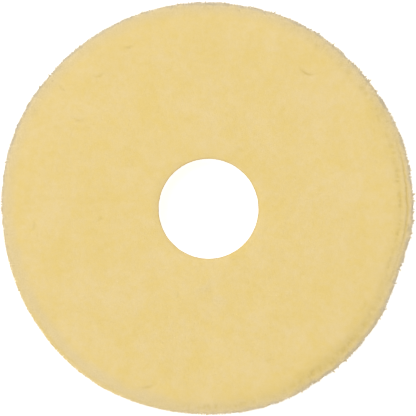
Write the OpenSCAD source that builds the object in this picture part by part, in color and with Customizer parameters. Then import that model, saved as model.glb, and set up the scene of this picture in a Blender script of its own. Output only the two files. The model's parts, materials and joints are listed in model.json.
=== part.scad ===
// Round polishing pad with a pile face, a foam interface and a loop-fabric backing.
// The pad lies on its backing with the pile up. The origin is the centre of the backing's lower face,
// and Z runs up the axis of the centre hole.
// Every layer is a flat ring, bonded face to face to the next one.

/* [Pad] */
// Diameter over the pile
pad_d = 160; // [120:1:200]
// Diameter of the hole through all the layers
hole_d = 39; // [20:0.5:60]

/* [Pile] */
// Height of the sheared pile above its knitted ground
pile_h = 5.2; // [4:0.1:7]
// How far the pile rolls down past the top of the ground at the rim
pile_drop = 1.6; // [0.5:0.1:2]

/* [Pile fabric] */
// Thickness of the knitted ground that the pile grows from
ground_h = 0.9; // [0.5:0.1:1.5]
// Thickness of the rubbery coat on the back of the ground
coat_h = 0.4; // [0.2:0.1:0.8]

/* [Foam interface] */
// Thickness of the foam
foam_h = 8; // [4:0.5:20]
// How much narrower the foam is at its lower edge than at its upper edge, on the radius
foam_taper = 1.6; // [0:0.2:6]

/* [Loop backing] */
// Thickness of the cloth that carries the loops
cloth_h = 0.7; // [0.4:0.1:1.2]
// Height of the raised loops
nap_h = 1.2; // [0.8:0.1:2.5]

/* [Bonding] */
// Thickness of each adhesive film
film_h = 0.3; // [0.2:0.1:0.6]

/* [Hidden] */
$fn = 128;

// Colours, each as red, green and blue from 0 to 1.
pile_cream = [0.92, 0.82, 0.55];
foam_yellow = [0.93, 0.80, 0.47];
loop_white = [0.94, 0.93, 0.89];
knit_cream = [0.90, 0.84, 0.66];
coat_tan = [0.78, 0.69, 0.47];
film_amber = [0.86, 0.74, 0.42];

hole_r = hole_d / 2;

// The rim of the pile is a bead that wraps the edge of the ground.
bead_r = (pile_h + pile_drop) / 2;
ground_r = pad_d / 2 - bead_r;
back_r = ground_r - foam_taper;

// Lower face of each layer, counted up from the backing.
cloth_z = nap_h;
lower_film_z = cloth_z + cloth_h;
foam_z = lower_film_z + film_h;
upper_film_z = foam_z + foam_h;
coat_z = upper_film_z + film_h;
ground_z = coat_z + coat_h;
pile_z = ground_z + ground_h;
top_z = pile_z + pile_h;

// Flat ring of outer radius r around the centre hole, from height z up to z + h.
module layer(r, z, h) {
    translate([0, 0, z])
        linear_extrude(h)
            difference() {
                circle(r = r);
                circle(r = hole_r);
            }
}

// Raised loops that the hooks of a backing plate grip.
module loop_nap() {
    color(loop_white)
        layer(back_r, 0, nap_h);
}

// Knitted cloth that the loops stand on.
module loop_cloth() {
    color(loop_white)
        layer(back_r, cloth_z, cloth_h);
}

// Film between the loop cloth and the foam.
module lower_adhesive() {
    color(film_amber)
        layer(back_r, lower_film_z, film_h);
}

// Soft foam whose side slopes in towards the backing.
module foam_interface() {
    color(foam_yellow)
        rotate_extrude()
            polygon([
                [hole_r, foam_z],
                [back_r, foam_z],
                [ground_r, upper_film_z],
                [hole_r, upper_film_z]
            ]);
}

// Film between the foam and the pile fabric.
module upper_adhesive() {
    color(film_amber)
        layer(ground_r, upper_film_z, film_h);
}

// Coat that locks the roots of the pile into the ground.
module lock_coat() {
    color(coat_tan)
        layer(ground_r, coat_z, coat_h);
}

// Knitted fabric that the pile grows from.
module knit_ground() {
    color(knit_cream)
        layer(ground_r, ground_z, ground_h);
}

// Sheared pile: a flat face with a round bead at the rim, and a clean cut at the hole.
module pile_face() {
    color(pile_cream)
        rotate_extrude()
            difference() {
                union() {
                    translate([hole_r, pile_z])
                        square([ground_r - hole_r, pile_h]);
                    translate([ground_r, top_z - bead_r])
                        circle(r = bead_r);
                }
                translate([ground_r - bead_r, pile_z - bead_r])
                    square(bead_r);
            }
}

loop_nap();
loop_cloth();
lower_adhesive();
foam_interface();
upper_adhesive();
lock_coat();
knit_ground();
pile_face();
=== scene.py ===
"""Looks of the round polishing pad: a sheared pile face on a thin foam interface with a loop backing."""

import json
import math

import bmesh
import bpy
import numpy as np
from mathutils import Matrix, Vector, noise

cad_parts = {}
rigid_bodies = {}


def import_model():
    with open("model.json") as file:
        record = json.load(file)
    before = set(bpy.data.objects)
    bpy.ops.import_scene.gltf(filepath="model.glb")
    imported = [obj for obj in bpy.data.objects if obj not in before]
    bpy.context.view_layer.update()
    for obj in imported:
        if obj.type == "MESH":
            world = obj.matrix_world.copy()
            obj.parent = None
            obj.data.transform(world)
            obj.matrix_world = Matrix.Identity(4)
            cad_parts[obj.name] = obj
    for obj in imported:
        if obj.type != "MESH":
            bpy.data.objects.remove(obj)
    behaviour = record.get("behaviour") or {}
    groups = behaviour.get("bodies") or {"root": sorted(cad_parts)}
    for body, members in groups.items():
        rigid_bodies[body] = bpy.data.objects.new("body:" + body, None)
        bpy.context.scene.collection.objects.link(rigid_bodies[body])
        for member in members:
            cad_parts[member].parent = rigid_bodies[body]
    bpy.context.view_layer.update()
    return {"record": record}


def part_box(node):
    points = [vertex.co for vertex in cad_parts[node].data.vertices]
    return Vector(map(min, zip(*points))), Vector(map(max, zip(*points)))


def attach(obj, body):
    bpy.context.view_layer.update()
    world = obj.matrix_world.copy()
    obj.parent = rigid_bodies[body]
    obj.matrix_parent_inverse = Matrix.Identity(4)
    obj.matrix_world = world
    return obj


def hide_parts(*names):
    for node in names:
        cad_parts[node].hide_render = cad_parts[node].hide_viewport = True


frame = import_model()
mounts = {mount["name"]: mount for mount in frame["record"]["mounts"]}


# ----------------------------------------------------------------------------------------------- Loop nap
# The gripping side of the backing: fine nylon threads pulled up out of the cloth in small arches, for the
# hooks of the machine's plate. Brushing tangles them into a matted bed that single loops stand out of.

mm = 0.001
turn = 2 * math.pi
hole_r = mounts["centre_hole"]["dims"]["r_mm"] * mm
nap_low, nap_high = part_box("loop_nap")
back_r = nap_high.x
nap_bed_z = nap_low.z + 0.72 * mm
loop_height = 0.55 * mm
loop_width = 0.9 * mm
loop_thread_r = 0.06 * mm
loop_spacing = 1.2 * mm
bed_matting = 0.12 * mm
bed_waves = 0.08 * mm
bed_fray = 0.15 * mm
weld_gap = 0.002 * mm


def ring(outline, steps):
    """A solid ring as a bmesh: corners of (radius, height, step along the side that follows), spun round the
    hole in so many steps, a multiple of the wedges. One wedge is spun and the rest are copies of it, which is
    quicker than one long spin."""
    wedges = 30
    bm = bmesh.new()
    corners = [bm.verts.new((radius, 0, height)) for radius, height, step in outline]
    sides = [bm.edges.new(pair) for pair in zip(corners, corners[1:] + corners[:1])]
    for side, (radius, height, step) in zip(sides, outline):
        cuts = math.ceil(side.calc_length() / step) - 1
        if cuts > 0:
            bmesh.ops.subdivide_edges(bm, edges=[side], cuts=cuts)
    bmesh.ops.spin(bm, geom=bm.verts[:] + bm.edges[:], cent=(0, 0, 0), axis=(0, 0, 1), angle=turn / wedges,
                   steps=steps // wedges)
    wedge = bm.verts[:] + bm.edges[:] + bm.faces[:]
    for number in range(1, wedges):
        copied = bmesh.ops.duplicate(bm, geom=wedge)["geom"]
        bmesh.ops.rotate(bm, verts=[part for part in copied if isinstance(part, bmesh.types.BMVert)],
                         cent=(0, 0, 0), matrix=Matrix.Rotation(turn * number / wedges, 3, "Z"))
    bmesh.ops.remove_doubles(bm, verts=bm.verts[:], dist=weld_gap)
    bmesh.ops.recalc_face_normals(bm, faces=bm.faces[:])
    return bm


def piece(name, mesh, finish):
    """The mesh or bmesh as a finished object of one material that rides with the pad."""
    if isinstance(mesh, bmesh.types.BMesh):
        bm = mesh
        mesh = bpy.data.meshes.new(name)
        bm.to_mesh(mesh)
        bm.free()
    mesh.shade_smooth()
    mesh.materials.clear()
    mesh.materials.append(finish)
    made = bpy.data.objects.new(name, mesh)
    bpy.context.scene.collection.objects.link(made)
    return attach(made, "root")


def grain(point, size, seed=0.0):
    """Smooth random value from about -1 to 1, in lumps of the given size."""
    return noise.noise(point / size + Vector((seed, 2 * seed, 3 * seed)))


def radius_of(point):
    """Distance of a point from the axis of the hole."""
    return math.hypot(point.x, point.y)


class Value:
    """The output of a node in a finish, on which arithmetic works as it does on numbers."""

    def __init__(self, finish, socket):
        self.finish = finish
        self.socket = socket

    def maths(self, operation, first, second):
        return self.finish.node("ShaderNodeMath", {"operation": operation}, {0: first, 1: second})

    def __add__(self, other):
        return self.maths("ADD", self, other)

    def __sub__(self, other):
        return self.maths("SUBTRACT", self, other)

    def __rsub__(self, other):
        return self.maths("SUBTRACT", other, self)

    def __mul__(self, other):
        return self.maths("MULTIPLY", self, other)

    __radd__ = __add__
    __rmul__ = __mul__


class Finish:
    """A material in the making: one Principled shader, with the nodes that feed it."""

    def __init__(self, name, **uniform):
        self.material = bpy.data.materials.new(name)
        self.material.use_nodes = True
        self.tree = self.material.node_tree
        self.shader = self.tree.nodes["Principled BSDF"]
        for socket, value in uniform.items():
            self.shader.inputs[socket.replace("_", " ")].default_value = value
        self.place = self.node("ShaderNodeTexCoord", output="Object")

    def node(self, kind, settings=None, inputs=None, output=0):
        """Adds a node: its settings first, then the values or links of its sockets."""
        made = self.tree.nodes.new(kind)
        for setting, value in (settings or {}).items():
            setattr(made, setting, value)
        for socket, value in (inputs or {}).items():
            self.feed(made.inputs[socket], value)
        return Value(self, made.outputs[output])

    def feed(self, socket, value):
        if isinstance(value, Value):
            self.tree.links.new(value.socket, socket)
        else:
            socket.default_value = value

    def speckle(self, size, detail=2.0, roughness=0.5, place=None):
        """Noise from 0 to 1 in lumps of the given size in metres."""
        return self.node("ShaderNodeTexNoise", {"normalize": True},
                         {"Vector": place or self.place, "Scale": 1 / size,
                          "Detail": detail, "Roughness": roughness})

    def spread(self, value, low, high, to_low=0.0, to_high=1.0):
        """The value with its range from low to high stretched over another one, and held there."""
        return self.node("ShaderNodeMapRange", {"clamp": True},
                         {"Value": value, "From Min": low, "From Max": high,
                          "To Min": to_low, "To Max": to_high})

    def blend(self, share, first, second):
        """Colour between two colours, by a share from 0 to 1."""
        return self.node("ShaderNodeMix", {"data_type": "RGBA"}, {0: share, 6: first, 7: second}, output=2)

    def colour(self, value):
        self.feed(self.shader.inputs["Base Color"], value)

    def rough(self, value):
        self.feed(self.shader.inputs["Roughness"], value)

    def relief(self, height, depth):
        """Bump from a height of 0 to 1 that stands for the given depth in metres."""
        bump = self.node("ShaderNodeBump", None, {"Height": height, "Distance": depth, "Strength": 1.0})
        self.feed(self.shader.inputs["Normal"], bump)


def nylon():
    """Off-white nylon thread: a slight shine, greyer where it is matted."""
    finish = Finish("loop_nylon", Sheen_Weight=0.25, Sheen_Roughness=0.4)
    matting = finish.speckle(4 * mm)
    strands = finish.speckle(0.35 * mm, detail=3.0)
    finish.colour(finish.blend(0.65 * matting + 0.35 * strands, (0.70, 0.66, 0.56, 1), (0.90, 0.88, 0.80, 1)))
    finish.rough(finish.spread(strands, 0.3, 0.7, 0.55, 0.8))
    finish.relief(strands, 0.12 * mm)
    return finish.material


class Scatter:
    """A geometry node tree that sets copies of small shapes over a skin, and gives them as one mesh."""

    def __init__(self, name):
        self.tree = bpy.data.node_groups.new(name, "GeometryNodeTree")
        for side in ("INPUT", "OUTPUT"):
            self.tree.interface.new_socket("Geometry", in_out=side, socket_type="NodeSocketGeometry")

    def node(self, kind, settings=None, inputs=None, output=0):
        made = self.tree.nodes.new(kind)
        for setting, value in (settings or {}).items():
            setattr(made, setting, value)
        for socket, value in (inputs or {}).items():
            if isinstance(value, bpy.types.NodeSocket):
                self.tree.links.new(value, made.inputs[socket])
            else:
                made.inputs[socket].default_value = value
        return made.outputs[output] if len(made.outputs) else None


def planted(skin, shapes, spacing, seed, tilt, size, softness=0.0):
    """Shapes rooted over a skin mesh, as one mesh. The skin's lie, stand and cover attributes say which way
    they point, how long they are and where they grow. tilt is a random lean in radians, size a (least, most)
    scale, and softness how far, from 0 to 1, they catch the light as the skin under them does."""
    stock = bpy.data.collections.new("stock")
    for number, shape in enumerate(shapes):
        mesh = bpy.data.meshes.new(f"shape_{number}")
        shape.to_mesh(mesh)
        stock.objects.link(bpy.data.objects.new(f"shape_{number}", mesh))
    scatter = Scatter("planting")
    node = scatter.node

    def attribute(name, kind):
        return node("GeometryNodeInputNamedAttribute", {"data_type": kind}, {"Name": name})

    ground = node("NodeGroupInput")
    points = node("GeometryNodeDistributePointsOnFaces", {"distribute_method": "POISSON"},
                  {"Mesh": ground, "Distance Min": spacing, "Density Max": 2 / spacing**2,
                   "Density Factor": attribute("cover", "FLOAT"), "Seed": seed})
    skin_normal = points.node.outputs["Normal"]
    standing = node("FunctionNodeAlignRotationToVector", {"axis": "Z"},
                    {"Vector": attribute("lie", "FLOAT_VECTOR")})
    jitter = node("FunctionNodeRandomValue", {"data_type": "FLOAT_VECTOR"},
                  {0: (-tilt, -tilt, 0), 1: (tilt, tilt, turn), "Seed": seed + 1})
    leaning = node("FunctionNodeRotateRotation", {"rotation_space": "LOCAL"},
                   {0: standing, 1: node("FunctionNodeEulerToRotation", None, {0: jitter})})
    scale = node("FunctionNodeRandomValue", {"data_type": "FLOAT"},
                 {2: size[0], 3: size[1], "Seed": seed + 2}, output=1)
    length = node("ShaderNodeMath", {"operation": "MULTIPLY"}, {0: scale, 1: attribute("stand", "FLOAT")})
    stretch = node("ShaderNodeCombineXYZ", None, {"X": scale, "Y": scale, "Z": length})
    choice = node("GeometryNodeCollectionInfo", None,
                  {"Collection": stock, "Separate Children": True, "Reset Children": True})
    copies = node("GeometryNodeInstanceOnPoints", None,
                  {"Points": points, "Instance": choice, "Pick Instance": True,
                   "Rotation": leaning, "Scale": stretch})
    shade = node("FunctionNodeRandomValue", {"data_type": "FLOAT"}, {"Seed": seed + 3}, output=1)
    shaded = node("GeometryNodeStoreNamedAttribute", {"data_type": "FLOAT", "domain": "INSTANCE"},
                  {"Geometry": copies, "Name": "shade", "Value": shade})
    faced = node("GeometryNodeStoreNamedAttribute", {"data_type": "FLOAT_VECTOR", "domain": "INSTANCE"},
                 {"Geometry": shaded, "Name": "skin_normal", "Value": skin_normal})
    node("NodeGroupOutput", None, {0: node("GeometryNodeRealizeInstances", None, {0: faced})})

    bearer = bpy.data.objects.new("bearer", skin)
    bpy.context.scene.collection.objects.link(bearer)
    bearer.modifiers.new("planting", "NODES").node_group = scatter.tree
    mesh = bpy.data.meshes.new_from_object(bearer.evaluated_get(bpy.context.evaluated_depsgraph_get()))
    if softness:
        mesh.shade_smooth()
        own = np.array([vertex.vector for vertex in mesh.vertex_normals])
        under = np.array([item.vector for item in mesh.attributes["skin_normal"].data])
        least_upright = 0.25
        share = softness * np.clip(under[:, 2:], least_upright, 1)
        mixed = (1 - share) * own + share * under
        mixed /= np.linalg.norm(mixed, axis=1, keepdims=True) + 1e-9
        mesh.normals_split_custom_set_from_vertices(mixed.tolist())
    for spare in ("lie", "stand", "cover", "id", "skin_normal"):
        if spare in mesh.attributes:
            mesh.attributes.remove(mesh.attributes[spare])
    bpy.data.objects.remove(bearer)
    for shape in stock.objects[:]:
        bpy.data.objects.remove(shape)
    bpy.data.collections.remove(stock)
    bpy.data.node_groups.remove(scatter.tree)
    return mesh


def set_growth(skin, growth):
    """Stores what growth(point, normal) says of each point of the skin: lie, stand and cover."""
    rows = [growth(vertex.co, vertex.normal) for vertex in skin.vertices]
    lies = skin.attributes.new("lie", "FLOAT_VECTOR", "POINT")
    lies.data.foreach_set("vector", [part for row in rows for part in row[0]])
    for name, column in (("stand", 1), ("cover", 2)):
        skin.attributes.new(name, "FLOAT", "POINT").data.foreach_set("value", [row[column] for row in rows])


def arch():
    """One loop of thread with closed feet, standing on them at the origin."""
    bm = bmesh.new()
    thread = bmesh.ops.create_circle(bm, segments=3, radius=loop_thread_r)["verts"]
    bmesh.ops.translate(bm, verts=thread, vec=(loop_width / 2, 0, 0))
    bmesh.ops.spin(bm, geom=bm.verts[:] + bm.edges[:], cent=(0, 0, 0), axis=(0, -1, 0), angle=turn / 2,
                   steps=5)
    bmesh.ops.holes_fill(bm, edges=bm.edges[:], sides=3)
    bmesh.ops.scale(bm, verts=bm.verts[:], vec=(1, 1, loop_height / (loop_width / 2)))
    bmesh.ops.recalc_face_normals(bm, faces=bm.faces[:])
    return bm


def nap_growth(point, normal):
    """Loops hang from the underside of the bed, leaning with the brushing, and none grow on its edges."""
    lean = Vector((grain(point, 18 * mm, 1), grain(point, 18 * mm, 2), -1))
    return lean.normalized(), 1.0, float(normal.z < -0.8)


loop_finish = nylon()
bed = ring([(hole_r, nap_bed_z, 0.9 * mm), (back_r, nap_bed_z, 0.2 * mm),
            (back_r, nap_high.z, 9 * mm), (hole_r, nap_high.z, 0.2 * mm)], steps=480)
for vertex in bed.verts:
    if vertex.co.z < nap_high.z - 0.1 * mm:
        vertex.co.z += bed_matting * grain(vertex.co, 1.6 * mm) + bed_waves * grain(vertex.co, 7 * mm)
        vertex.co.xy *= 1 + bed_fray * grain(vertex.co, 1.1 * mm, 4) / radius_of(vertex.co)
nap_bed = piece("loop_nap_bed", bed, loop_finish)
nap_skin = nap_bed.data.copy()
set_growth(nap_skin, nap_growth)
nap_loops = piece("loop_nap_loops",
                  planted(nap_skin, [arch()], loop_spacing, seed=5, tilt=0.4, size=(0.85, 1.0)), loop_finish)
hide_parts("loop_nap")


# --------------------------------------------------------------------------------------------- Loop cloth
# The knitted cloth that the loops are part of. It is die-cut with the rest of the pad, so only its cut edge
# shows, as a row of small stitch ends round the rim and in the hole.

cloth_low, cloth_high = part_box("loop_cloth")
stitch_depth = 0.1 * mm
stitch_fray = 0.06 * mm


def facing(radius, outer_r):
    """1 on the outer cut edge of a ring, -1 on its edge in the hole and 0 between them."""
    near = 0.2 * mm
    return 1 if radius > outer_r - near else -1 if radius < hole_r + near else 0


def press_stitches(bm, low_z, high_z, outer_r, across):
    """Marks the cut edges of a knitted ring with stitch ends, so far across and two rows deep."""
    for vertex in bm.verts:
        radius = radius_of(vertex.co)
        row = 2 * (vertex.co.z - low_z) / (high_z - low_z)
        along = math.pi * radius * math.atan2(vertex.co.y, vertex.co.x) / across
        swell = abs(math.cos(along + math.pi / 2 * math.floor(row)) * math.sin(math.pi * row)) - 0.5
        depth = stitch_depth * swell + stitch_fray * grain(vertex.co, 1.3 * mm, 3)
        vertex.co.xy *= 1 + facing(radius, outer_r) * depth / radius


def knit(name, dark, light):
    """Knitted cloth: rows of small stitches in a matt yarn, with a little fluff."""
    finish = Finish(name, Sheen_Weight=0.3, Sheen_Roughness=0.5)
    ribs = finish.node("ShaderNodeTexWave", {"wave_type": "RINGS", "rings_direction": "Z"},
                       {"Vector": finish.place, "Scale": 0.16 / mm, "Distortion": 1.5, "Detail": 1.0,
                        "Detail Scale": 1.0 / mm}, output=1)
    fluff = finish.speckle(0.3 * mm, detail=3.0)
    stitches = 0.5 * ribs + 0.5 * fluff
    finish.colour(finish.blend(stitches, dark, light))
    finish.rough(finish.spread(fluff, 0.3, 0.7, 0.8, 0.95))
    finish.relief(stitches, 0.15 * mm)
    return finish.material


def flat_ring(low_z, high_z, outer_r, steps, edge_step):
    """A flat ring with fine steps up its two cut edges and coarse ones across its hidden faces."""
    across = 9 * mm
    return ring([(hole_r, low_z, across), (outer_r, low_z, edge_step),
                 (outer_r, high_z, across), (hole_r, high_z, edge_step)], steps)


def ring_area(outer_r):
    """Area of the cut ring in square metres."""
    return math.pi * (outer_r**2 - hole_r**2)


cloth = flat_ring(cloth_low.z, cloth_high.z, back_r, steps=900, edge_step=0.12 * mm)
press_stitches(cloth, cloth_low.z, cloth_high.z, back_r, across=0.75 * mm)
backing_yarn = knit("backing_yarn", (0.62, 0.58, 0.48, 1), (0.88, 0.86, 0.79, 1))
backing_knit = piece("backing_knit", cloth, backing_yarn)
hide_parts("loop_cloth")
ring_area(back_r)


# ----------------------------------------------------------------------------------------- Adhesive films
# Two thin films of melted glue, one under the foam and one over it. The press squeezes each one out a
# little, unevenly, so a low amber bead shows along the cut edges.


def pressed_film(name, node_name, finish, seed, squeeze):
    """A film between two layers that swells out of the joint by up to the squeeze."""
    low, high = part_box(node_name)
    bm = flat_ring(low.z, high.z, high.x, steps=720, edge_step=(high.z - low.z) / 4)
    for vertex in bm.verts:
        radius = radius_of(vertex.co)
        bulge = math.sin(math.pi * (vertex.co.z - low.z) / (high.z - low.z))
        amount = 0.55 + 0.45 * grain(vertex.co, 2.6 * mm, seed) + 0.2 * grain(vertex.co, 0.8 * mm, seed)
        vertex.co.xy *= 1 + facing(radius, high.x) * squeeze * bulge * amount / radius
    made = piece(name, bm, finish)
    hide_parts(node_name)
    return made


def glue():
    """Set hot-melt glue: amber, half glossy, cloudier where it is thin."""
    finish = Finish("melted_glue", Coat_Roughness=0.25)
    cloud = finish.speckle(3 * mm, detail=3.0)
    finish.colour(finish.blend(cloud, (0.52, 0.34, 0.10, 1), (0.80, 0.62, 0.27, 1)))
    finish.rough(finish.spread(cloud, 0.3, 0.7, 0.45, 0.65))
    finish.feed(finish.shader.inputs["Coat Weight"], finish.spread(cloud, 0.4, 0.6, 0.0, 0.15))
    finish.relief(finish.speckle(0.5 * mm), 0.05 * mm)
    return finish.material


glue_finish = glue()
for name, node_name, seed in (("lower_glue", "lower_adhesive", 11), ("upper_glue", "upper_adhesive", 17)):
    pressed_film(name, node_name, glue_finish, seed, squeeze=0.16 * mm)


# ----------------------------------------------------------------------------------------- Foam interface
# A soft polyurethane foam ring, sawn and die-cut, so its sides show opened cells. The press and the cutter
# leave the sides a touch hollow between the two glued faces.

foam_low, foam_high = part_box("foam_interface")
cell_size = 1.0 * mm
cell_wall = 0.5
cell_depth = 0.3 * mm
side_hollow = 0.35 * mm


def cell_pit(point):
    """Share of a cell's depth at a point: 1 inside an opened cell and 0 on the walls between cells."""
    nearest, second = noise.voronoi(point / cell_size)[0][:2]
    return min((second - nearest) / cell_wall, 1.0)


def foam_cells(name):
    """Yellow open-cell foam: pale cell walls, painted shade in the cells as a deeper colour, slightly uneven
    ageing.
    """
    finish = Finish(name, Sheen_Weight=0.1, Sheen_Roughness=0.5)
    cells = finish.node("ShaderNodeTexVoronoi", {"feature": "DISTANCE_TO_EDGE"},
                        {"Vector": finish.place, "Scale": 1 / cell_size}, output=0)
    pores = finish.node("ShaderNodeTexVoronoi", {"feature": "DISTANCE_TO_EDGE"},
                        {"Vector": finish.place, "Scale": 2.7 / cell_size}, output=0)
    walls = 1 - finish.spread(cells, 0.0, 0.28)
    age = finish.speckle(9 * mm)
    # Painted shade: the colour is darker inside the cells than on their walls, mixed with random ageing.
    finish.colour(finish.blend(0.6 * walls + 0.4 * age, (0.60, 0.42, 0.13, 1), (0.86, 0.68, 0.30, 1)))
    finish.rough(finish.spread(walls, 0, 1, 0.95, 0.75))
    finish.relief(finish.spread(pores, 0.0, 0.2), 0.12 * mm)
    return finish.material


foam = ring([(hole_r, foam_low.z, 9 * mm), (back_r, foam_low.z, 0.36 * mm),
             (foam_high.x, foam_high.z, 9 * mm), (hole_r, foam_high.z, 0.36 * mm)], steps=1260)
for vertex in foam.verts:
    radius = radius_of(vertex.co)
    rise = (vertex.co.z - foam_low.z) / (foam_high.z - foam_low.z)
    outward = facing(radius, back_r)
    if outward and 0.01 < rise < 0.99:
        sunk = cell_depth * cell_pit(vertex.co) + side_hollow * math.sin(math.pi * rise)
        vertex.co.xy *= 1 - outward * sunk / radius
foam_ring = piece("foam_cells", foam, foam_cells("yellow_foam"))
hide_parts("foam_interface")


# ---------------------------------------------------------------------------------------------- Lock coat
# A thin rubbery coat, spread on the back of the pile fabric and dried, that holds the roots of the pile.


def dried_rubber():
    """Tan latex, dull and a little pitted."""
    finish = Finish("dried_latex", Coat_Roughness=0.5)
    streaks = finish.speckle(2.2 * mm, detail=4.0)
    finish.colour(finish.blend(streaks, (0.42, 0.32, 0.15, 1), (0.66, 0.54, 0.32, 1)))
    finish.rough(finish.spread(streaks, 0.3, 0.7, 0.6, 0.8))
    finish.relief(finish.speckle(0.4 * mm), 0.08 * mm)
    return finish.material


pressed_film("rubber_coat", "lock_coat", dried_rubber(), seed=23, squeeze=0.1 * mm)


# -------------------------------------------------------------------------------------------- Knit ground
# The knitted cloth that the pile is worked into. The pile hides it, except for its cut edge in the hole.

ground_low, ground_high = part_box("knit_ground")
ground_r = ground_high.x
ground = flat_ring(ground_low.z, ground_high.z, ground_r, steps=900, edge_step=0.15 * mm)
press_stitches(ground, ground_low.z, ground_high.z, ground_r, across=0.9 * mm)
ground_yarn = knit("ground_yarn", (0.56, 0.43, 0.19, 1), (0.80, 0.66, 0.36, 1))
ground_knit = piece("ground_knit", ground, ground_yarn)
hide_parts("knit_ground")
ring_area(ground_r)


# ----------------------------------------------------------------------------------------------- Pile body
# The mass of the sheared pile. It is level where the shears passed, rolls over the edge of the ground in a
# soft bead, and is cut square at the hole. Use has roughed up and creased the bead, mostly on one side, and
# parted the pile on the face in a few places.

pile_low, pile_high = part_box("pile_face")
pad_r = pile_high.x
bead_r = (pile_high.z - pile_low.z) / 2
skin_depth = 0.5 * mm
puff_limit = 0.4 * mm
hole_chamfer = 0.35 * mm
shearing_waves = 0.14 * mm
shearing_ripple = 0.05 * mm
coarse_tuft = 3.3 * mm
coarse_height = 0.7 * mm
fine_tuft = 1.7 * mm
fine_height = 0.65 * mm
seam_depth = 0.2 * mm

# Places where the outline stands out or falls in: direction in degrees, height in mm, width in degrees.
outline_lobes = [(20, 0.5, 12), (60, 0.3, 12), (155, 0.3, 15), (190, -0.5, 14), (238, 0.65, 16),
                 (285, 0.5, 12), (340, -1.2, 10), (90, -0.1, 12), (35, -0.2, 7), (140, -0.2, 6),
                 (0, 0.3, 8), (294, 0.3, 5)]
outline_shift = Vector((-0.7, 0.3, 0)) * mm
outline_fullness = 0.65 * mm

# Sides where the rim is roughed up: direction and width in degrees, and how much from 0 to 1.
rough_sides = [(-8, 22, 0.75), (-52, 22, 0.9), (38, 26, 0.8), (85, 26, 0.5), (150, 22, 0.4), (185, 12, 0.4)]

# Creases that run along the rim: direction and spread in degrees, distance in from the edge, breadth, depth
# and wandering in mm, and how broken up they are from 0 to 1.
# Through the parted mask the creases also paint shade into the pile's colour; the two broad unbroken ones, at
# 4 and -48 degrees, are shallow and mostly darken the colour as painted shade.
rim_creases = [(3, 15, 2.9, 0.4, 0.8, 0.3, 0.1), (4, 24, 5.6, 0.7, 0.5, 0.6, 0.9),
               (4, 26, 5.5, 2.6, 0.12, 0.5, 0), (42, 20, 4.2, 1.2, 0.35, 0.6, 0.9),
               (-48, 20, 3.8, 1.4, 0.55, 0.6, 0.8), (-48, 24, 4.4, 2.8, 0.35, 0.5, 0),
               (-85, 14, 3.4, 1.0, 0.4, 0.5, 0.8), (-130, 34, 1.9, 0.5, 0.15, 0.3, 0.2)]

# Stretches of the rim that stand nearly square: direction and spread in degrees, and height in mm.
square_rims = [(3, 22, 0.65), (45, 24, 0.35), (-48, 24, 0.3), (-132, 40, 0.4)]

# Partings in the face, and ridges where the depth is below nothing: middle (x, y) in mm, direction in
# degrees, half length, breadth and depth in mm.
partings = [((38, 52), -25, 2.6, 0.45, 0.6), ((-42, 51), 15, 1.8, 0.45, 0.4),
            ((-50, 34), -10, 2.2, 0.45, 0.35), ((-42, -4), 50, 1.6, 0.45, 0.35),
            ((-67, -7), 80, 1.8, 0.45, 0.3), ((-56, 46), -35, 1.5, 0.45, 0.35),
            ((12, 23), -20, 2.0, 0.5, 0.25), ((-23, -69), 10, 2.4, 0.45, 0.4),
            ((61, -38), 60, 1.8, 0.45, 0.3), ((-12, -34), -70, 1.5, 0.45, 0.25),
            ((24, -58), 30, 2.2, 0.6, 0.25), ((-30, 62), 20, 1.6, 0.5, 0.3),
            ((-2, -31), 25, 4.0, 1.6, -0.2), ((3, -35), -30, 3.0, 1.4, -0.15)]


def bump(distance, width):
    """A smooth hump that is 1 at no distance and almost gone at twice the width."""
    return math.exp(-((distance / width) ** 2))


def apart(angle, direction):
    """Degrees from a direction in degrees to an angle in radians, from -180 to 180."""
    return (math.degrees(angle) - direction + 180) % 360 - 180


def ramp(value, low, high):
    """0 below the low value, 1 above the high one, and a straight rise between them."""
    return min(max((value - low) / (high - low), 0), 1)


def outline_lift(angle):
    """How far the uneven shearing moves the outline in or out, at an angle in radians."""
    lobes = (height * mm * bump(apart(angle, direction), width) for direction, height, width in outline_lobes)
    return outline_fullness + sum(lobes)


def roughness_of(angle):
    """How roughed up the rim is at an angle, from 0 to 1."""
    rough = 0.12 + sum(most * bump(apart(angle, direction), width) for direction, width, most in rough_sides)
    return min(rough, 1)


def radial_grain(radius, angle, size, seed):
    """Smooth random value from about -1 to 1, in streaks of the given width that run out towards the edge."""
    return noise.noise(Vector((pad_r * angle / size, 0.3 * radius / size, seed)))


def crease_depth(point, radius, angle):
    """How far the pile opens at a point, along the creases that wander round the rim."""
    depth = 0.0
    for direction, spread, inset, breadth, most, wander, broken in rim_creases:
        reach = bump(apart(angle, direction), spread)
        if reach > 0.02:
            middle = pad_r - inset * mm + wander * mm * grain(point, 2.5 * mm, inset)
            whole = 1 - broken + broken * ramp(radial_grain(radius, angle, 1.1 * mm, inset), 0, 0.35)
            depth += most * mm * reach * whole * bump(radius - middle, breadth * mm)
    return depth


def parting_depth(point):
    """How far the pile opens at a point, along the short bowed lines of its partings."""
    depth = 0.0
    for (x, y), direction, half_length, breadth, most in partings:
        heading = Vector((math.cos(math.radians(direction)), math.sin(math.radians(direction))))
        away = point.xy - Vector((x, y)) * mm
        along = away.dot(heading)
        bow = 0.25 * along * along / (half_length * mm)
        across = heading.x * away.y - heading.y * away.x - bow
        depth += most * mm * bump(along, half_length * mm) * bump(across, breadth * mm)
    return depth


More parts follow.
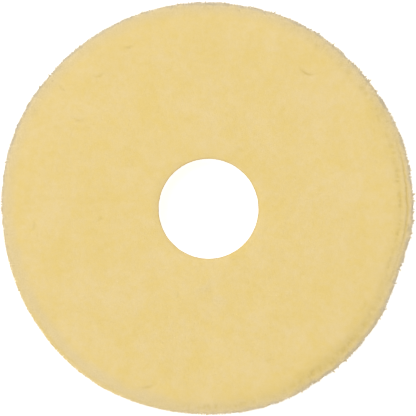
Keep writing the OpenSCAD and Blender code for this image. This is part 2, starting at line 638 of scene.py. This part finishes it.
def paleness_and_painted_light(point, radius, angle):
    """How pale the pile is at a point, from 0 to 1, with painted shade greying it above 0.6: most at its
    edge, but for one smooth lip, which has a band of painted highlight further in and stays yellow outside
    it."""
    inset = pad_r - radius + 0.8 * mm * grain(point, 3 * mm, 9)
    lip = bump(apart(angle, -132), 36)
    fringe = 0.6 * ramp(inset, 6.2 * mm, 1.4 * mm) + 0.4 * ramp(inset, 2.0 * mm, 0.2 * mm)
    # Painted highlight: a pale band along the lip, a little in from its edge.
    painted_highlight_band = 0.42 * ramp(inset, 1.4 * mm, 2.8 * mm) * ramp(inset, 7 * mm, 4.4 * mm)
    return (1 - lip) * fringe + lip * (painted_highlight_band + 0.7 * ramp(inset, 0.6 * mm, -0.4 * mm))


def settled(point, normal):
    """Where handling leaves a point of the pile's skin, how far it is parted there and how pale it is; both
    also mask painted shade, and the paleness a painted highlight, in the colour.
    """
    radius = radius_of(point)
    angle = math.atan2(point.y, point.x)
    top = max(normal.z, 0)
    near_rim = ramp(radius, pad_r - 8 * mm, pad_r - 2 * mm)
    rough = roughness_of(angle) * near_rim
    outer = ramp(radius, 55 * mm, pad_r - 5 * mm)

    coarse = noise.voronoi(point / coarse_tuft)[0]
    fine = noise.voronoi(point / fine_tuft + Vector((7, 7, 7)))[0]
    below = ramp(normal.z, 0.2, -0.5)
    tufts = near_rim * ramp(normal.z, -1, -0.6) * (0.15 + max(rough, 0.6 * below))
    raised = tufts * (coarse_height * (0.5 - coarse[0]) + fine_height * (0.42 - fine[0]))
    seams = rough * (1 - ramp(coarse[1] - coarse[0], 0.03, 0.22)) * ramp(grain(point, 5 * mm, 12), -0.2, 0.2)
    parted = parting_depth(point)
    opened = parted + crease_depth(point, radius, angle) + seam_depth * seams
    square = sum(height * mm * bump(apart(angle, direction), spread)
                 for direction, spread, height in square_rims)

    outwards = Vector((math.cos(angle), math.sin(angle), 0))
    moved = point + outer * (outline_shift + outline_lift(angle) * outwards)
    moved.z += top * (shearing_waves * grain(point, 16 * mm) + shearing_ripple * grain(point, 3.5 * mm, 5))
    moved.z += square * bump(radius - pad_r + 0.9 * mm, 1.1 * mm) * ramp(normal.z, -0.2, 0.3)
    moved += (raised - opened * max(normal.z, 0.2)) * normal
    pale = paleness_and_painted_light(point, radius, angle) + max(-parted, 0) / (0.8 * mm)
    return moved, ramp(opened, 0, 0.6 * mm), min(pale, 1)


def puffed(mesh, held, pressure):
    """The cloth of a closed skin after a short simulation of air pressing it out, held at some points."""
    bag = bpy.data.objects.new("bag", mesh)
    bpy.context.scene.collection.objects.link(bag)
    bag.vertex_groups.new(name="held").add(held, 1.0, "REPLACE")
    cloth_sim = bag.modifiers.new("cloth", "CLOTH")
    cloth_sim.settings.mass = 0.001
    cloth_sim.settings.vertex_group_mass = "held"
    cloth_sim.settings.use_pressure = True
    cloth_sim.settings.uniform_pressure_force = pressure
    cloth_sim.settings.effector_weights.gravity = 0
    cloth_sim.settings.quality = 4
    cloth_sim.collision_settings.use_collision = False
    scene = bpy.context.scene
    last_frame = 20
    cloth_sim.point_cache.frame_end = last_frame
    for number in range(1, last_frame + 1):
        scene.frame_set(number)
    blown = bpy.data.meshes.new_from_object(bag.evaluated_get(bpy.context.evaluated_depsgraph_get()))
    for was, now in zip(mesh.vertices, blown.vertices):
        move = now.co - was.co
        if move.length > puff_limit:
            now.co = was.co + move * (puff_limit / move.length)
    scene.frame_set(1)
    bpy.data.objects.remove(bag)
    return blown


def subdivided(mesh):
    """The mesh after one pass of subdivision surface."""
    cage = bpy.data.objects.new("cage", mesh)
    bpy.context.scene.collection.objects.link(cage)
    smooth = cage.modifiers.new("smooth", "SUBSURF")
    smooth.levels = smooth.render_levels = 1
    finer = bpy.data.meshes.new_from_object(cage.evaluated_get(bpy.context.evaluated_depsgraph_get()))
    bpy.data.objects.remove(cage)
    return finer


def pile_outline():
    """Half section of the pile: over the ground, down its edge, round the bead, over the face and down the
    hole."""
    bead_z = pile_high.z - bead_r
    skin_r = bead_r - skin_depth
    top = pile_high.z - skin_depth
    section = [(hole_r, ground_high.z, 9 * mm), (ground_r, ground_high.z, 0.8 * mm)]
    arc_steps = 12
    for number in range(arc_steps):
        angle = math.pi * (number / arc_steps - 0.5)
        section.append((ground_r + skin_r * math.cos(angle), bead_z + skin_r * math.sin(angle), mm))
    section += [(ground_r, top, 1.0 * mm), (pad_r - 16 * mm, top, 1.9 * mm),
                (hole_r + hole_chamfer, top, mm), (hole_r, top - hole_chamfer, 0.9 * mm)]
    return section


pile_bm = ring(pile_outline(), steps=450)
pile_mesh = bpy.data.meshes.new("pile_cage")
pile_bm.to_mesh(pile_mesh)
pile_bm.free()
fixed = [vertex.index for vertex in pile_mesh.vertices
         if vertex.co.z < ground_high.z + 0.1 * mm or radius_of(vertex.co) < hole_r + 0.6 * mm]
pile_mesh = puffed(pile_mesh, fixed, pressure=4)
pile_mesh = subdivided(pile_mesh)
states = [settled(vertex.co, vertex.normal) for vertex in pile_mesh.vertices]
pile_mesh.vertices.foreach_set("co", [part for place, parted, pale in states for part in place])
for name, column in (("parted", 1), ("pale", 2)):
    marks = pile_mesh.attributes.new(name, "FLOAT", "POINT")
    marks.data.foreach_set("value", [state[column] for state in states])
pile_mesh.update()


def pile_finish(name, fibres):
    """Cream wool: warm and paler patches, painted shade as a deeper yellow where it is parted or creased, a
    pale fluffy rim with a painted highlight band on one lip, and painted shade greying its very edge.
    """
    finish = Finish(name, Roughness=0.95, Sheen_Weight=0.2, Sheen_Roughness=0.6,
                    Sheen_Tint=(1.0, 0.93, 0.75, 1))

    def marked(attribute):
        return finish.node("ShaderNodeAttribute", {"attribute_name": attribute}, output=2)

    patches = finish.speckle(11 * mm)
    flecks = finish.speckle(2.6 * mm, detail=3.0, roughness=0.6)
    if fibres:
        # Painted shade: the locks are darker towards their roots, deep in the pile; the shade attribute is a
        # random tone for each lock.
        height = 0.6 * marked("tip") + 0.4 * marked("shade")
    else:
        upright = finish.node("ShaderNodeVectorMath", {"operation": "MULTIPLY"},
                              {0: finish.place, 1: (1, 1, 0.15)})
        strands = finish.speckle(0.35 * mm, detail=3.0, place=upright)
        # On the body, which lies under the locks, the spread leans to the darker root colours: painted shade
        # deep in the pile.
        height = finish.spread(strands, 0.3, 0.7, -0.5, 0.8)
        finish.relief(strands, 0.25 * mm)
    warm = finish.blend(height, (0.756, 0.564, 0.190, 1), (0.796, 0.605, 0.219, 1))
    cool = finish.blend(height, (0.770, 0.590, 0.264, 1), (0.810, 0.635, 0.304, 1))
    fluffy_and_highlight = finish.blend(height, (0.670, 0.525, 0.271, 1), (0.840, 0.680, 0.396, 1))
    painted_edge_shade = finish.blend(height, (0.440, 0.380, 0.275, 1), (0.610, 0.535, 0.430, 1))
    painted_parting_shade = (0.640, 0.475, 0.135, 1)
    face = finish.blend(finish.spread(0.45 * patches + 0.55 * flecks, 0.36, 0.64), warm, cool)
    pale = marked("pale")
    # Paler fibres towards the rim, and on the lip a band of painted highlight.
    fringe = finish.blend(finish.spread(pale, 0, 0.6), face, fluffy_and_highlight)
    # Painted shade greys the very edge of the rim, where the mask is above 0.6.
    rim = finish.blend(finish.spread(pale, 0.6, 1), fringe, painted_edge_shade)
    # Painted shade: a deeper yellow in the partings and creases, by the parted mask.
    finish.colour(finish.blend(0.7 * marked("parted"), rim, painted_parting_shade))
    return finish.material


pile_body = piece("pile_body", pile_mesh, pile_finish("wool_mass", fibres=False))
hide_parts("pile_face")


# ---------------------------------------------------------------------------------------------- Pile locks
# The pile itself: short locks of fine crimped fibres. The shears level their tips, brushing leans them in
# broad sweeps over the face, and at the rim they stand out all round with finer hairs among them.

lock_passes = 6
lock_spacing = 0.78 * mm
lock_softness = 0.8
tuft_spacing = 1.4 * mm


def lock(width, length, bend):
    """One lock of pile: three-sided, full in the middle, bent, and drawn to a soft tip."""
    bm = bmesh.new()
    bmesh.ops.create_cone(bm, cap_ends=True, segments=3, radius1=width / 2, radius2=0, depth=length,
                          matrix=Matrix.Translation((0, 0, length / 2)))
    bmesh.ops.bisect_plane(bm, geom=bm.verts[:] + bm.edges[:] + bm.faces[:], plane_co=(0, 0, 0.55 * length),
                           plane_no=(0, 0, 1), dist=length / 100)
    tips = bm.verts.layers.float.new("tip")
    for vertex in bm.verts:
        share = vertex.co.z / length
        fullness = 1 + 1.1 * math.sin(math.pi * share)
        vertex.co.xy *= fullness
        vertex.co.x += bend * share * share
        vertex[tips] = share
    bmesh.ops.recalc_face_normals(bm, faces=bm.faces[:])
    return bm


def pile_growth(point, normal):
    """Locks lean in broad sweeps on the face, away from the cut at the hole, and stand out round the bead."""
    radius = radius_of(point)
    sweep = Vector((0.35 + grain(point, 24 * mm, 1) + 0.5 * grain(point, 3 * mm, 3),
                    -0.25 + grain(point, 24 * mm, 2) + 0.5 * grain(point, 3 * mm, 4), 0))
    sweep += 2.2 * bump(radius - hole_r, 1.4 * mm) * Vector((point.x, point.y, 0)) / radius
    flat = ramp(normal.z, 0.4, 0.9)
    lie = (normal + (0.35 + 0.9 * flat) * (sweep - sweep.dot(normal) * normal)).normalized()
    at_hole = radius < hole_r + 0.45 * mm
    underneath = normal.z < -0.75 or (radius < ground_r + 0.5 * mm and normal.z < 0)
    creased = ramp(crease_depth(point, radius, math.atan2(point.y, point.x)), 0.15 * mm, 0.4 * mm)
    stand = (0.9 - 0.15 * (1 - flat)) * (1 - 0.5 * creased)
    return lie, stand, 0.0 if at_hole or underneath else 1.0


def show_pile(name, mesh):
    """A piece of pile fibres. Light passes between fibres, so they cast no shade on one another."""
    made = piece(name, mesh, fibre_finish)
    made.visible_shadow = False
    made.visible_diffuse = False


fibre_finish = pile_finish("wool_fibres", fibres=True)
lock_skin = pile_mesh.copy()
set_growth(lock_skin, pile_growth)
lock_shapes = [lock(0.20 * mm, 0.95 * mm, 0.22 * mm), lock(0.17 * mm, 1.05 * mm, -0.15 * mm),
               lock(0.23 * mm, 0.85 * mm, 0.12 * mm)]
for number in range(lock_passes):
    locks = planted(lock_skin, lock_shapes, lock_spacing, seed=100 + 10 * number, tilt=0.3, size=(0.75, 1.1),
                    softness=lock_softness)
    show_pile(f"pile_locks_{number + 1}", locks)


def tuft_growth(point, normal):
    """Tufts and loose hairs grow only round the bead, most of them where the rim has been roughed up."""
    rough = roughness_of(math.atan2(point.y, point.x))
    frizz = Vector((grain(point, 2 * mm, 6), grain(point, 2 * mm, 7), grain(point, 2 * mm, 8)))
    on_bead = radius_of(point) > pad_r - 4 * mm and normal.z > -0.7
    return (normal + 0.8 * frizz).normalized(), 0.6 + 0.4 * rough, rough if on_bead else 0.0


tuft_skin = pile_mesh.copy()
set_growth(tuft_skin, tuft_growth)
tuft_shapes = [lock(0.5 * mm, 1.5 * mm, 0.4 * mm), lock(0.7 * mm, 1.7 * mm, -0.3 * mm),
               lock(0.35 * mm, 1.3 * mm, 0.3 * mm)]
tufts = planted(tuft_skin, tuft_shapes, tuft_spacing, seed=200, tilt=0.5, size=(0.6, 1.1), softness=0.5)
show_pile("rim_tufts", tufts)


# ---------------------------------------------------------------------------------- Floor, light and camera
# A plain white sheet under soft studio light: an even sky, and one broad lamp high on the upper left.


def painted_floor():
    """Matt white paper."""
    finish = Finish("white_paper", Roughness=0.9)
    tooth = finish.speckle(2 * mm)
    finish.colour(finish.blend(tooth, (0.90, 0.90, 0.90, 1), (0.93, 0.93, 0.93, 1)))
    finish.shader.inputs["Emission Color"].default_value = (1, 1, 1, 1)
    finish.shader.inputs["Emission Strength"].default_value = 0.5
    return finish.material


floor_bm = bmesh.new()
bmesh.ops.create_grid(floor_bm, x_segments=8, y_segments=8, size=20)
floor_mesh = bpy.data.meshes.new("floor")
floor_bm.to_mesh(floor_mesh)
floor_bm.free()
floor_mesh.materials.append(painted_floor())
floor = bpy.data.objects.new("floor", floor_mesh)
bpy.context.scene.collection.objects.link(floor)
floor_gap = 0.02 * mm
floor.location.z = -floor_gap

sky = bpy.data.worlds.new("sky")
sky.use_nodes = True
sky.node_tree.nodes["Background"].inputs["Color"].default_value = (1, 1, 1, 1)
sky.node_tree.nodes["Background"].inputs["Strength"].default_value = 0.86
bpy.context.scene.world = sky

lamp_data = bpy.data.lights.new("key_lamp", "AREA")
lamp_data.shape = "DISK"
lamp_data.size = 0.9
lamp_data.energy = 7.7
lamp = bpy.data.objects.new("key_lamp", lamp_data)
lamp.location = (-0.45, 0.33, 1.42)
lamp.rotation_euler = (-lamp.location).to_track_quat("-Z", "Y").to_euler()
lamp.visible_camera = False
bpy.context.scene.collection.objects.link(lamp)

camera_data = bpy.data.cameras.new("camera")
camera_data.lens = 800
camera_data.sensor_width = 36
pad_share = 0.9904  # of the picture's width
view_width = 2 * pad_r / pad_share
view_distance = view_width * camera_data.lens / camera_data.sensor_width
camera = bpy.data.objects.new("camera", camera_data)
camera.location = (-0.2 * mm, 0.3 * mm, pile_high.z + view_distance)
camera_data.clip_end = 100
bpy.context.scene.collection.objects.link(camera)
bpy.context.scene.camera = camera
bpy.context.scene.view_settings.view_transform = "Standard"
